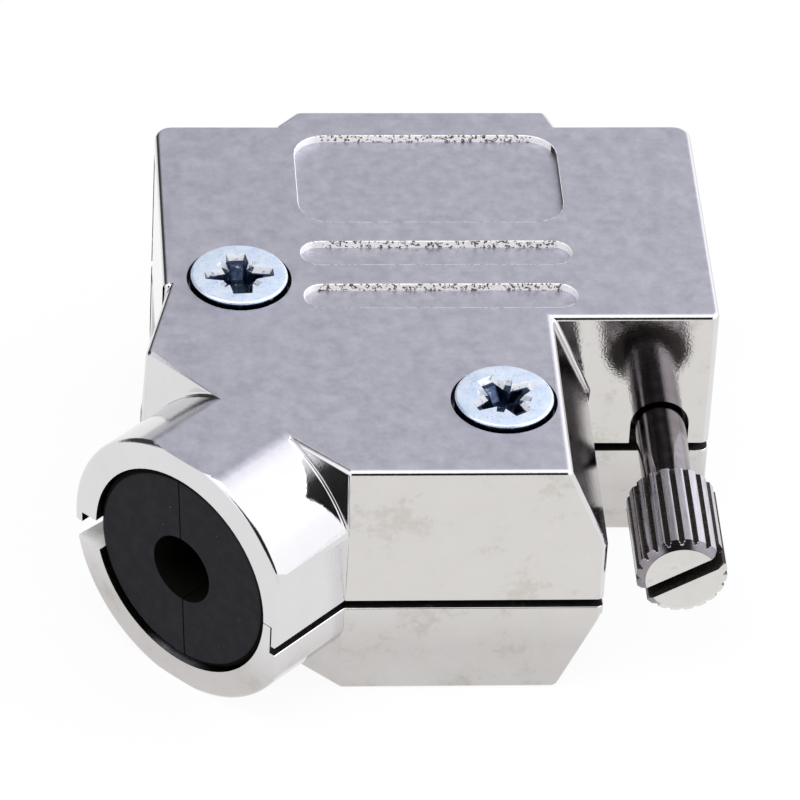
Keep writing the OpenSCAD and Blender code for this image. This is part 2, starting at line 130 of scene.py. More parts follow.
class Nodes:
    """A node tree with short calls for the nodes used here."""

    def __init__(self, tree):
        self.tree = tree
        self.coords = self.node("ShaderNodeTexCoord")

    def node(self, kind, **settings):
        made = self.tree.nodes.new(kind)
        for key, value in settings.items():
            setattr(made, key, value)
        return made

    def link(self, source, target):
        self.tree.links.new(source, target)

    def axes(self, source):
        made = self.node("ShaderNodeSeparateXYZ")
        self.link(self.coords.outputs[source], made.inputs[0])
        return made.outputs

    def ramp(self, source, stops):
        made = self.node("ShaderNodeValToRGB")
        while len(made.color_ramp.elements) < len(stops):
            made.color_ramp.elements.new(0.5)
        for element, (place, colour) in zip(made.color_ramp.elements, stops):
            element.position = place
            element.color = (*colour, 1.0)
        self.link(source, made.inputs["Fac"])
        return made.outputs["Color"]

    def span(self, source, low, high, start=0.3, end=0.7, **settings):
        """From low to high as the source goes from start to end."""
        made = self.node("ShaderNodeMapRange", **settings)
        for name, value in (("From Min", start), ("From Max", end), ("To Min", low), ("To Max", high)):
            made.inputs[name].default_value = value
        self.link(source, made.inputs["Value"])
        return made.outputs["Result"]

    def mix(self, share, a, b):
        made = self.node("ShaderNodeMix", data_type="RGBA")
        self.link(share, made.inputs["Factor"])
        self.link(a, made.inputs[6])
        self.link(b, made.inputs[7])
        return made.outputs[2]

    def mix_shaders(self, share, a, b):
        made = self.node("ShaderNodeMixShader")
        self.link(share, made.inputs["Fac"])
        self.link(a, made.inputs[1])
        self.link(b, made.inputs[2])
        return made.outputs[0]


class Shader(Nodes):
    """A material's node tree."""

    def __init__(self, name):
        self.material = bpy.data.materials.new(name)
        self.material.use_nodes = True
        super().__init__(self.material.node_tree)
        self.bsdf = self.tree.nodes["Principled BSDF"]

    def set(self, **sockets):
        for name, value in sockets.items():
            self.bsdf.inputs[name.replace("_", " ")].default_value = value

    def noise(self, grain_mm, detail=3.0, rough=0.55, stretch=(1.0, 1.0, 1.0)):
        made = self.node("ShaderNodeTexNoise")
        made.inputs["Scale"].default_value = 1.0 / (grain_mm * MM)
        made.inputs["Detail"].default_value = detail
        made.inputs["Roughness"].default_value = rough
        scaled = self.node("ShaderNodeMapping")
        scaled.inputs["Scale"].default_value = stretch
        self.link(self.coords.outputs["Object"], scaled.inputs["Vector"])
        self.link(scaled.outputs["Vector"], made.inputs["Vector"])
        return made.outputs["Fac"]

    def math(self, operation, a, b):
        made = self.node("ShaderNodeMath", operation=operation)
        for socket, value in zip(made.inputs, (a, b)):
            if isinstance(value, float):
                socket.default_value = value
            else:
                self.link(value, socket)
        return made.outputs[0]

    def facing(self, axis, start, end):
        """Zero to one as the normal's part along an axis goes from start to end."""
        return self.span(self.axes("Normal")[axis], 0.0, 1.0, start, end)

    def low(self, start_mm, end_mm):
        """Zero to one as the height goes from start to end."""
        return self.span(self.axes("Object")["Z"], 0.0, 1.0, start_mm * MM, end_mm * MM)

    def bump(self, source, depth_mm, strength, after=None):
        made = self.node("ShaderNodeBump")
        made.inputs["Strength"].default_value = strength
        made.inputs["Distance"].default_value = depth_mm * MM
        self.link(source, made.inputs["Height"])
        if after is not None:
            self.link(after, made.inputs["Normal"])
        return made.outputs["Normal"]

    def finish(self, colour, roughness, normal):
        for source, name in ((colour, "Base Color"), (roughness, "Roughness"), (normal, "Normal")):
            self.link(source, self.bsdf.inputs[name])
        return self.material


def clouded(name, noise, stops, rough, dents, dent_grain=None, **sockets):
    """A finish whose colour and roughness follow one noise, dented by that noise or by a finer grain."""
    s = Shader(name)
    s.set(**sockets)
    cloud = s.noise(*noise)
    bumps = s.noise(dent_grain) if dent_grain else cloud
    return s.finish(s.ramp(cloud, stops), s.span(cloud, *rough), s.bump(bumps, *dents))


def nickel_material():
    """Nickel plate: bright on the sides, faintly stained, with painted shade towards the foot, satin and
    mottled on top.
    """
    s = Shader("nickel")
    s.set(Metallic=1.0)
    top = s.facing("Z", 0.9, 0.985)
    mottle = s.noise(0.8, 5.0, 0.65)
    grain = s.noise(0.14, 2.0)
    stain = s.noise(2.6, 6.0, 0.7)
    satin = s.ramp(mottle, [
        (0.3, (0.51, 0.51, 0.58)), (0.5, (0.58, 0.58, 0.66)), (0.7, (0.65, 0.64, 0.71))])
    clean = s.ramp(stain, [(0.3, (0.73, 0.72, 0.73)), (0.7, (0.70, 0.69, 0.70))])
    handled = s.ramp(stain, [
        (0.3, (0.68, 0.66, 0.64)), (0.55, (0.66, 0.64, 0.62)), (0.64, (0.58, 0.56, 0.52)),
        (0.72, (0.65, 0.63, 0.60))])
    # Painted shade: darker towards the foot, standing in for the shaded floor it reflects there, with the
    # stain's cloud in it
    foot_shade = s.ramp(stain, [
        (0.3, (0.58, 0.56, 0.55)), (0.55, (0.55, 0.53, 0.52)), (0.66, (0.48, 0.46, 0.44))])
    bright = s.mix(s.facing("Y", -0.9, -0.98), clean, handled)
    bright = s.mix(s.low(-1.0, -4.5), bright, foot_shade)
    colour = s.mix(top, bright, satin)
    rough = s.math("ADD", s.span(top, 0.06, 0.44, 0.0, 1.0), s.span(mottle, -0.02, 0.03))
    normal = s.bump(grain, 0.008, 0.45, s.bump(mottle, 0.02, 0.18))
    return s.finish(colour, rough, normal)


def gap_shade_material():
    """Painted shade: near-black plating on the faces of the parting joint and on the walls of the
    counterbores, where shade falls.
    """
    stops = [(0.3, (0.006, 0.005, 0.005)), (0.6, (0.012, 0.010, 0.009)), (0.8, (0.05, 0.045, 0.04))]
    return clouded("nickel_gap_shade", (0.4, 4.0), stops, rough=(0.4, 0.6), dents=(0.03, 0.4))


def wall_highlight_material():
    """Painted highlight: near-white plating with dark pits on the walls and lips around the recesses of the
    top face.
    """
    stops = [(0.0, (0.96, 0.95, 0.92)), (0.53, (0.92, 0.90, 0.86)), (0.57, (0.06, 0.05, 0.04)),
             (0.64, (0.06, 0.05, 0.04)), (0.68, (0.95, 0.94, 0.92))]
    return clouded("nickel_wall_highlight", (0.22, 2.0, 0.6), stops, rough=(0.25, 0.35), dents=(0.03, 0.5),
                   Metallic=0.1)


def painted_sheen_material():
    """Painted highlight: near-white plating in the corners of the recesses and on the bare top in the
    collar's left slit.
    """
    stops = [(0.3, (0.97, 0.96, 0.94)), (0.7, (0.90, 0.89, 0.88))]
    return clouded("nickel_painted_sheen", (0.4, 4.0), stops, rough=(0.2, 0.3), dents=(0.02, 0.3),
                   Metallic=0.1)


def end_material():
    """Painted shade: near-black plating on the right end wall of the label recess."""
    stops = [(0.3, (0.06, 0.06, 0.07)), (0.7, (0.14, 0.13, 0.13))]
    return clouded("nickel_end_shade", (0.8, 5.0, 0.65), stops, rough=(0.25, 0.35), dents=(0.02, 0.2),
                   Metallic=1.0)


def zinc_material():
    """Bluish zinc plate of the cross-head screws."""
    s = Shader("zinc_screw")
    s.set(Metallic=0.55)
    cloud = s.noise(0.8, 4.0)
    specks = s.noise(0.12, 3.0)
    plate = s.ramp(cloud, [(0.3, (0.64, 0.77, 1.0)), (0.7, (0.82, 0.90, 1.0))])
    worn_and_lit = s.ramp(specks, [(0.0, (0.26, 0.30, 0.42)), (1.0, (0.34, 0.38, 0.48))])
    colour = s.mix(s.span(specks, 0.0, 1.0, 0.64, 0.70), plate, worn_and_lit)
    normal = s.bump(specks, 0.02, 0.5, s.bump(cloud, 0.05, 0.4))
    return s.finish(colour, s.span(cloud, 0.22, 0.36), normal)


def recess_shade_material():
    """Painted shade: dark plating with a few paler specks in the cross recess and on the side of a screw
    head.
    """
    stops = [(0.35, (0.02, 0.03, 0.06)), (0.62, (0.05, 0.07, 0.12)), (0.75, (0.50, 0.56, 0.66))]
    return clouded("zinc_recess_shade", (0.3, 4.0), stops, rough=(0.2, 0.3), dents=(0.03, 0.4), Metallic=1.0)


def painted_glint_material():
    """Painted highlight: near-white glint on the lip of the cross recess."""
    stops = [(0.3, (0.98, 0.99, 1.0)), (0.58, (0.92, 0.95, 1.0)), (0.66, (0.30, 0.36, 0.46))]
    return clouded("zinc_painted_glint", (0.25, 3.0), stops, rough=(0.2, 0.3), dents=(0.03, 0.4), Metallic=0.1)


def thumb_material():
    """Turned steel under thin dark nickel, with fine lines along it."""
    s = Shader("thumb_steel")
    s.set(Metallic=1.0)
    cloud = s.noise(0.8, 3.0)
    lines = s.noise(0.10, 2.0, 0.5, stretch=(1.0, 0.12, 1.0))
    colour = s.ramp(cloud, [(0.3, (0.22, 0.20, 0.22)), (0.7, (0.30, 0.28, 0.30))])
    return s.finish(colour, s.span(cloud, 0.08, 0.14), s.bump(lines, 0.006, 0.3))


def flat_material():
    """Worn nickel on the flats of the grip, brushed along it."""
    stops = [(0.3, (0.46, 0.43, 0.48)), (0.7, (0.66, 0.63, 0.69))]
    lines = (0.10, 3.0, 0.6, (1.0, 0.08, 1.0))
    return clouded("thumb_flat", lines, stops, rough=(0.2, 0.3), dents=(0.01, 0.35), Metallic=1.0)


def groove_shade_material():
    """Painted shade: near-black steel in the grooves, at the shoulder and in the slot of the grip."""
    stops = [(0.3, (0.026, 0.022, 0.019)), (0.6, (0.040, 0.035, 0.031)), (0.8, (0.10, 0.09, 0.09))]
    return clouded("thumb_groove_shade", (0.3, 4.0), stops, rough=(0.2, 0.34), dents=(0.006, 0.3), dent_grain=0.1,
                   Metallic=0.4)


def thumb_end_material():
    """Faced end of the grip: paler and a little stained, and laid as a painted highlight on the lower part of
    the cone around it.
    """
    stops = [(0.3, (0.66, 0.64, 0.61)), (0.6, (0.70, 0.69, 0.67)), (0.8, (0.52, 0.49, 0.45))]
    return clouded("thumb_end", (0.9, 5.0), stops, rough=(0.16, 0.28), dents=(0.006, 0.3), dent_grain=0.15,
                   Metallic=1.0)


def spring_material():
    """Oiled spring steel of the retaining rings."""
    stops = [(0.3, (0.16, 0.16, 0.18)), (0.7, (0.24, 0.24, 0.26))]
    return clouded("spring_steel", (0.5, 3.0), stops, rough=(0.3, 0.45), dents=(0.006, 0.3), dent_grain=0.1,
                   Metallic=1.0)


def rubber_material():
    """Matt black rubber with a slight bloom, fine pits and a few specks of dust."""
    s = Shader("rubber")
    s.set(Specular_IOR_Level=0.25)
    bloom = s.noise(0.7, 4.0)
    dust = s.noise(0.16, 1.0)
    black = s.ramp(bloom, [
        (0.3, (0.003, 0.003, 0.006)), (0.6, (0.004, 0.004, 0.008)), (0.8, (0.007, 0.007, 0.013))])
    pale = s.ramp(bloom, [(0.3, (0.20, 0.20, 0.20)), (0.7, (0.30, 0.30, 0.30))])
    colour = s.mix(s.span(dust, 0.0, 1.0, 0.80, 0.83), black, pale)
    return s.finish(colour, s.span(bloom, 0.6, 0.75), s.bump(s.noise(0.1), 0.01, 0.3))


def hole_material():
    """Rubber inside the cable's hole, where no light comes."""
    stops = [(0.3, (0.003, 0.003, 0.002)), (0.7, (0.005, 0.005, 0.004))]
    return clouded("rubber_hole", (0.7, 4.0), stops, rough=(0.8, 0.9), dents=(0.01, 0.3), dent_grain=0.1,
                   Specular_IOR_Level=0.05)


def tin_material():
    """Tinned sheet steel of the connector's shells."""
    stops = [(0.3, (0.70, 0.69, 0.66)), (0.7, (0.78, 0.77, 0.74))]
    return clouded("tinned_steel", (1.2, 3.0), stops, rough=(0.18, 0.30), dents=(0.006, 0.3), dent_grain=0.2,
                   Metallic=1.0)


def insulator_material():
    """Glass-filled black moulding with flow clouds."""
    stops = [(0.3, (0.012, 0.012, 0.013)), (0.7, (0.022, 0.022, 0.025))]
    return clouded("insulator", (0.6, 4.0), stops, rough=(0.42, 0.58), dents=(0.01, 0.3), dent_grain=0.12)


def gold_material():
    """Gold flash of the contacts."""
    stops = [(0.3, (0.78, 0.56, 0.22)), (0.7, (0.88, 0.68, 0.32))]
    return clouded("contact_gold", (0.4, 3.0), stops, rough=(0.16, 0.26), dents=(0.004, 0.3), dent_grain=0.1,
                   Metallic=1.0)


MATERIALS = {
    "nickel": nickel_material(), "zinc_screw": zinc_material(), "thumb_steel": thumb_material(),
    "spring_steel": spring_material(), "rubber": rubber_material(), "tinned_steel": tin_material(),
    "insulator": insulator_material(), "contact_gold": gold_material(),
}
# Painted shade and painted highlights laid on chosen faces, with the grip's worn flats and paler end
GAP_SHADE = gap_shade_material()
WALL_HIGHLIGHT = wall_highlight_material()
PAINTED_SHEEN = painted_sheen_material()
END = end_material()
RECESS = recess_shade_material()
PAINTED_GLINT = painted_glint_material()
FLAT = flat_material()
GROOVE = groove_shade_material()
THUMB_END = thumb_end_material()
HOLE = hole_material()


# Pieces that stand for a node

replaced = set()


def settle(piece, node):
    """The piece takes the node's material, stands for it and moves with its body."""
    piece.data.materials.append(MATERIALS[SLOT_OF[node]])
    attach(piece, BODY_OF[node])
    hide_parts(node)
    replaced.add(node)


def refinish(piece, material, rule):
    """Faces that the rule picks by their middle in millimetres and their normal take the material."""
    piece.data.materials.append(material)
    index = len(piece.data.materials) - 1
    for face in piece.data.polygons:
        if rule(face.center / MM, face.normal):
            face.material_index = index


def shade_smooth(mesh, sharp_deg):
    """Smooth shading, but for edges that turn by more than an angle."""
    mesh.polygons.foreach_set("use_smooth", [True] * len(mesh.polygons))
    mesh.set_sharp_from_angle(angle=math.radians(sharp_deg))


# Places on the part, in millimetres

def within(mid, room):
    """Whether a place lies between a room's limits along each axis."""
    return all(low < place < high for place, (low, high) in zip(mid, room))


def along_cable(mid):
    """How far a place lies out from the root of the collar."""
    return (mid - COLLAR_AT).dot(CABLE_DIR)


def from_cable_axis(mid):
    return (mid - COLLAR_AT - along_cable(mid) * CABLE_DIR).length


def from_screw_axis(mid):
    """How far a place lies from the axis of the nearer assembly screw."""
    return min((mid.xy - axis).length for axis in SCREW_AXES.values())


# Dressed copies of the solids, with rounded edges

DRESSED_SHARP_DEG = 32.0
SHARP_DEG = 35.0
SOFT_DEG = 18.0


def solid_mesh(node):
    """The node's mesh with its triangles joined into flat faces."""
    weld_mm = 0.002
    flat_deg = 0.6
    bm = bmesh.new()
    bm.from_mesh(frame["nodes"][node].data)
    bmesh.ops.remove_doubles(bm, verts=bm.verts, dist=weld_mm * MM)
    bmesh.ops.dissolve_limit(bm, angle_limit=math.radians(flat_deg), verts=bm.verts, edges=bm.edges)
    return bm


def dressed_piece(node, bm):
    """An object of the mesh that stands for the node, smooth but for its sharp edges."""
    bm.normal_update()
    bm.verts.index_update()
    name = f"{node}_dressed"
    mesh = bpy.data.meshes.new(name)
    mesh.from_pydata([v.co[:] for v in bm.verts], [], [[v.index for v in f.verts] for f in bm.faces])
    bm.free()
    shade_smooth(mesh, DRESSED_SHARP_DEG)
    piece = new_object(name, mesh)
    weighted = piece.modifiers.new("even_shading", "WEIGHTED_NORMAL")
    weighted.keep_sharp = True
    settle(piece, node)
    return piece


def middle(edge):
    return (edge.verts[0].co + edge.verts[1].co) / 2 / MM


def turn_deg(edge):
    """Angle between an edge's faces: below zero at an inner corner, zero where there aren't two faces."""
    return math.degrees(edge.calc_face_angle_signed()) if len(edge.link_faces) == 2 else 0.0


def dress(node, round_mm, angle_deg, segments=2, keep=lambda mid: False):
    """A copy of a node with its outer edges rounded, but for those that keep names by their middle."""
    bm = solid_mesh(node)
    edges = [e for e in bm.edges if turn_deg(e) > angle_deg and not keep(middle(e))]
    bmesh.ops.bevel(
        bm, geom=edges, offset=round_mm * MM, offset_type="OFFSET", segments=segments, profile=0.5,
        affect="EDGES", clamp_overlap=False)
    return dressed_piece(node, bm)


def weighted_bevel(bm, round_mm, segments):
    """The mesh with its edges rounded by their bevel weights."""
    mesh = bpy.data.meshes.new("rounding")
    bm.to_mesh(mesh)
    bm.free()
    holder = new_object("rounding", mesh)
    rounding = holder.modifiers.new("rounding", "BEVEL")
    rounding.limit_method = "WEIGHT"
    rounding.width = round_mm * MM
    rounding.segments = segments
    rounding.use_clamp_overlap = False
    rounding.loop_slide = False
    made = bmesh.new()
    made.from_object(holder, bpy.context.evaluated_depsgraph_get())
    bpy.data.objects.remove(holder)
    return made


def true_up_bores(bm):
    """Finer steps around the counterbores of the screws."""
    wall_band = 0.12
    floor_band = 0.05
    level_band = 0.01
    cuts = 5
    for axis_mm in SCREW_AXES.values():
        axis = axis_mm * MM

        def on_wall(vert):
            off = (vert.co.xy - axis).length / MM
            return abs(off - COUNTERBORE_R) < wall_band and vert.co.z / MM > COUNTERBORE_FLOOR - floor_band

        def on_rim(edge):
            a, b = edge.verts
            return on_wall(a) and on_wall(b) and abs(a.co.z - b.co.z) < level_band * MM

        bmesh.ops.subdivide_edges(bm, edges=[e for e in bm.edges if on_rim(e)], cuts=cuts, use_grid_fill=True)
        for vert in bm.verts:
            if on_wall(vert):
                vert.co.xy = axis + (vert.co.xy - axis).normalized() * COUNTERBORE_R * MM


def is_outer_edge(edge):
    """Sharp edges, and softer ones that are long and level."""
    long_mm = 2.0
    level_share = 0.1
    turn = turn_deg(edge)
    run = edge.verts[1].co - edge.verts[0].co
    long_and_level = run.length > long_mm * MM and abs(run.z) < level_share * run.length
    return turn > SHARP_DEG or (turn > SOFT_DEG and long_and_level)


def kept_sharp(edge):
    """Rims of the bores, the shank's arch, the shoulder, the flange slots and the collar's own round."""
    arch_r = SHANK_R + 0.9
    shoulder_reach = 1.2
    shoulder_half = BELLY_HALF + 0.5
    mid = middle(edge)
    by_screw = from_screw_axis(mid) < COUNTERBORE_R + MARGIN
    by_shank = math.hypot(mid.x - JACK_X, mid.z) < arch_r
    on_rim = along_cable(mid) > COLLAR_LEN - RIM_ROUND - MARGIN
    by_shoulder = (mid.xy - SHOULDER).length < shoulder_reach and abs(mid.z) < shoulder_half
    by_slot = within((abs(mid.x), mid.y, abs(mid.z)), FLANGE_SLOTS)
    return by_screw or by_shank or on_rim or by_shoulder or by_slot


def at_root(edge):
    """The inner corner between the collar and the slanted face."""
    depth_band = 0.05
    radius_band = 0.15
    lowest = 2.0
    mid = middle(edge)
    on_root = abs(along_cable(mid)) < depth_band and abs(from_cable_axis(mid) - COLLAR_R) < radius_band
    return turn_deg(edge) <= -SHARP_DEG and on_root and mid.z > lowest


def at_gusset(edge):
    """The inner corner between the leaning right side and the ear."""
    return turn_deg(edge) <= -SHARP_DEG and within(middle(edge), EAR_CORNER)


def outer_share(edge):
    """Share of the rounding that an outer edge gets: less at the parting joint and around recesses."""
    mid = middle(edge)
    if abs(mid.z - SKIRT_END) < NEAR or abs(mid.z - LEDGE_TOP) < NEAR:
        return JOINT_SHARE
    if within(mid, RECESSES) and abs(mid.z - TOP_Z) < NEAR:
        return RIM_SHARE
    return 1.0


def dress_hood():
    """Both halves of the hood, rounded only along edges that can be seen from outside."""
    halves = {node: solid_mesh(node) for node in ("upper_shell", "lower_shell")}
    true_up_bores(halves["upper_shell"])
    walls = [BVHTree.FromBMesh(bm) for bm in halves.values()]
    lift = 0.03 * MM
    sight = 80 * MM

    def open_to_outside(edge):
        out = (edge.link_faces[0].normal + edge.link_faces[1].normal).normalized()
        start = middle(edge) * MM + out * lift
        return all(tree.ray_cast(start, out, sight)[0] is None for tree in walls)

    for node, bm in halves.items():
        share = bm.edges.layers.float.new("bevel_weight_edge")
        for edge in bm.edges:
            if at_root(edge):
                edge[share] = ROOT_SHARE
            elif at_gusset(edge):
                edge[share] = GUSSET_SHARE
            elif is_outer_edge(edge) and not kept_sharp(edge) and open_to_outside(edge):
                edge[share] = outer_share(edge)
        piece = dressed_piece(node, weighted_bevel(bm, EDGE_ROUND, EDGE_STEPS))
        # Painted shade in the joint, the counterbores and the label recess's right end; painted highlights on
        # the recess walls, their corners and the left slit
        refinish(piece, GAP_SHADE, in_upper_joint if node == "upper_shell" else in_lower_joint)
        refinish(piece, WALL_HIGHLIGHT, at_recess_wall)
        refinish(piece, PAINTED_SHEEN, at_recess_corner)
        refinish(piece, END, at_recess_end)
        refinish(piece, PAINTED_SHEEN, in_left_slit)


# Faces of the hood and the grommet that take painted shade or painted highlights, and where the grommet keeps
# its edges

# Painted shade of the parting joint goes on the counterbore walls, the upper half's underside at the joint
# and the lower half's ledge and tongue
def in_counterbore(mid, normal):
    inside = from_screw_axis(mid) < COUNTERBORE_R + MARGIN and mid.z > COUNTERBORE_FLOOR - NEAR
    return inside and abs(normal.z) < RUNNING


def in_upper_joint(mid, normal):
    return in_counterbore(mid, normal) or (normal.z < -FACING and abs(mid.z - SKIRT_END) < NEAR)


def in_lower_joint(mid, normal):
    ledge = normal.z > FACING and abs(mid.z - LEDGE_TOP) < NEAR
    tongue = abs(normal.z) < LEANING and LEDGE_TOP < mid.z < TONGUE_TOP
    return ledge or tongue


def at_recess_wall(mid, normal):
    """Far walls and near lips of the label recess and the two slots, which take a painted highlight."""
    lip_tilt = 0.12
    corner_tilt = 0.75
    far_or_near = normal.y < -LEANING or normal.y > lip_tilt
    return within(mid, RECESSES) and far_or_near and abs(normal.x) < corner_tilt


def at_recess_corner(mid, normal):
    """Rounded corners that catch the light, given a painted highlight."""
    return within(mid, RECESSES) and abs(normal.x) > LEANING and normal.y < LEANING


# The right end wall of the label recess, which takes painted shade
def at_recess_end(mid, normal):
    return within(mid, LABEL_RECESS) and normal.x < -FACING


def in_left_slit(mid, normal):
    """Bare top of the lower half where the collar is open at the left, given a painted highlight."""
    bore_r = 5.0
    slit_half = 2.2
    left_x, left_y = COLLAR_AT.x - 3.0, COLLAR_AT.y - 2.0
    left = mid.x < left_x and mid.y > left_y
    in_wall = along_cable(mid) > 0.0 and from_cable_axis(mid) > bore_r
    return left and in_wall and abs(mid.z) < slit_half and normal.z > FACING


def away_from_rim(mid):
    """Where the grommet keeps its edges: all but the outer edge behind the rim of the collar."""
    edge_r = 5.5
    edge_depth = 1.0
    return from_cable_axis(mid) < edge_r or along_cable(mid) < COLLAR_LEN - edge_depth


def in_dark(mid, normal):
    """The cable's hole, and the rounded edge of the grommet behind the rim of the collar, which take painted
    shade.
    """
    edge_r = 5.6
    edge_tilt = 0.96
    off = from_cable_axis(mid)
    out = normal.dot(CABLE_DIR)
    in_hole = off < CABLE_R + NEAR and abs(out) < RUNNING
    return in_hole or (off > edge_r and out < edge_tilt)


# Turned pieces

TURNED_SHARP_DEG = 28.0


def lathe(rows, steps):
    """A closed surface around the Y axis from rows of a place along Y and a radius by the angle."""
    angles = [2 * math.pi * k / steps for k in range(steps)]
    points = [(r(a) * math.cos(a), y, r(a) * math.sin(a)) for y, r in rows for a in angles]
    faces = []
    for i in range(len(rows) - 1):
        for k in range(steps):
            a, b = i * steps + k, i * steps + (k + 1) % steps
            faces.append((a, a + steps, b + steps, b))
    last = (len(rows) - 1) * steps
    faces.append(tuple(range(steps)))
    faces.append(tuple(last + k for k in reversed(range(steps))))
    return points, faces


def mesh_object(name, points, faces, move):
    mesh = bpy.data.meshes.new(name)
    mesh.from_pydata([(move @ Vector(p)) * MM for p in points], [], faces)
    return new_object(name, mesh)


def cut_away(piece, cutters):
    """The piece less its cutters, as a plain mesh."""
    for cutter in cutters:
        cut = piece.modifiers.new("cut", "BOOLEAN")
        cut.operation = "DIFFERENCE"
        cut.solver = "EXACT"
        cut.object = cutter
    ready = piece.evaluated_get(bpy.context.evaluated_depsgraph_get())
    mesh = bpy.data.meshes.new_from_object(ready)
    piece.modifiers.clear()
    piece.data = mesh
    for cutter in cutters:
        bpy.data.objects.remove(cutter)
    shade_smooth(mesh, TURNED_SHARP_DEG)
    return piece


def block(name, low, high, move):
    corners = [(x, y, z) for x in (low[0], high[0]) for y in (low[1], high[1]) for z in (low[2], high[2])]
    sides = [(0, 1, 3, 2), (4, 6, 7, 5), (0, 4, 5, 1), (2, 3, 7, 6), (0, 2, 6, 4), (1, 5, 7, 3)]
    return mesh_object(name, corners, sides, move)


def plain(radius):
    return lambda angle: radius


def threaded(y, most):
    """Radius of a cut thread at a place along its axis, no larger than most."""
    depth = 0.30
    crest_share = 0.2

    def radius(angle):
        phase = (y / THREAD_PITCH - angle / (2 * math.pi)) % 1.0
        flank = max(0.0, (1.0 + crest_share) * abs(2 * phase - 1) - crest_share)
        return min(most, THREAD_R - depth * flank)
    return radius


def ridged(grip_r, most):
    """Radius of a grip with flat ridges and sharp valleys, no larger than most."""
    depth = 0.30
    flat_share = 0.56

    def radius(angle):
        phase = (-angle / (2 * math.pi) * KNURL_COUNT) % 1.0
        valley = max(0.0, (phase - flat_share) / (1.0 - flat_share))
        return min(most, grip_r - depth * (1.0 - abs(2.0 * valley - 1.0)))
    return radius


GRIP_BEVEL = 0.3
STEPS_PER_RIDGE = 12


def disc_end(end, disc_r, grip_r):
    """Rows of a faced end with a broken edge and a cone that cuts the ridges off raggedly."""
    face_inset = 0.30
    edge_out, edge_along = 0.04, 0.02
    cone_out, cone_along = 0.44, 0.33
    steps = 12
    face_r = disc_r - face_inset
    rows = [(end, plain(face_r)), (end + edge_along, plain(face_r + edge_out))]
    for k in range(steps + 1):
        cone_r = face_r + edge_out + cone_out * k / steps
        rows.append((end + edge_along + cone_along * k / steps, ridged(grip_r, cone_r)))
    return rows


def shank_rows(front, groove):
    """Rows of the shank with its ring groove, the neck and the cut thread."""
    break_along, break_in = 0.08, 0.06
    chamfer = 0.3
    steps = 54
    rows = [(front, plain(SHANK_R)), (groove[0] - break_along, plain(SHANK_R)),
            (groove[0], plain(SHANK_R - break_in)), (groove[0], plain(GROOVE_R)),
            (groove[1], plain(GROOVE_R)), (groove[1], plain(NECK_R)), (0.0, plain(NECK_R))]
    for k in range(steps + 1):
        y = THREAD_TIP * k / steps
        rows.append((y, threaded(y, min(THREAD_R, THREAD_R - chamfer + THREAD_TIP - y))))
    return rows


def thumbscrew(node, x, grip, grip_r, groove, slot_depth, disc=None):
    """A captive screw: end disc, ridged grip, shank with ring groove, neck and a cut thread."""
    back, front = grip
    full, bevelled = ridged(grip_r, grip_r), ridged(grip_r, grip_r - GRIP_BEVEL)
    if disc:
        disc_r, disc_t = disc
        end = back - disc_t
        rows = disc_end(end, disc_r, grip_r)
    else:
        end = back
        rows = [(back, bevelled), (back + GRIP_BEVEL, full)]
    rows += [(front - GRIP_BEVEL, full), (front, bevelled)] + shank_rows(front, groove)
    points, faces = lathe(rows, STEPS_PER_RIDGE * KNURL_COUNT)
    place = Matrix.Translation((x, 0.0, 0.0))
    piece = mesh_object(f"{node}_turned", points, faces, place)
    across = place @ Matrix.Rotation(-SLOT_TURN, 4, "Y")
    past, reach = 1.0, 6.0
    slot = block("slot", (-reach, end - past, -SLOT_HALF), (reach, end + slot_depth, SLOT_HALF), across)
    settle(cut_away(piece, [slot]), node)
    tiny = 0.001
    shoulder_band = 0.01
    flat_band = 0.04
    cone_reach = 0.3
    turned_away = 0.55
    flat_r = grip_r - flat_band

    def dark(mid, normal):
        """Grooves of the grip, its shoulder at the shank, and the slot, which take painted shade."""
        valley = back < mid.y < front and math.hypot(mid.x - x, mid.z) < flat_r and abs(normal.y) < LEANING
        shoulder = abs(mid.y - front) < shoulder_band
        in_slot = abs((across.inverted() @ mid).z) < SLOT_HALF + tiny
        return valley or shoulder or (in_slot and end + tiny < mid.y < end + slot_depth + tiny)

    def on_flat(mid, normal):
        """Flats of the grip, but for those that look to the hood, which keep the dark steel as painted shade.
        """
        outer = math.hypot(mid.x - x, mid.z) > flat_r and back - cone_reach < mid.y < front
        # Painted shade: flats that look to the hood are left out
        worn_and_lit = normal.x * x > -turned_away * abs(x)
        return outer and abs(normal.y) < LEANING and worn_and_lit

    def on_end(mid, normal):
        """The faced end, and the lower part of the cone around it as a painted highlight."""
        cone = normal.y < -LEANING and end < mid.y < back
        lower = normal.z < LEANING and normal.x > -LEANING
        return (cone and lower) or (normal.y < -FACING and abs(mid.y - end) < tiny)

    refinish(piece, GROOVE, dark)
    refinish(piece, FLAT, on_flat)
    refinish(piece, THUMB_END, on_end)


# Cross recess: how its longer wings are turned, and each pair's turn from there in degrees, half length,
# half width in the middle and at the tips, and depth
SCREW_TURN = {"assembly_screw_left": 4.0, "assembly_screw_right": 32.0}
WINGS = [(0, 1.85, 0.70, 0.22, 1.0), (90, 1.75, 0.70, 0.42, 1.0), (45, 1.4, 0.26, 0.06, 0.5),
         (135, 1.4, 0.26, 0.06, 0.5)]
RECESS_R = 2.2
HEAD_ROUND = 0.14
LIP_W = 0.16
LIP_DEPTH = 0.34


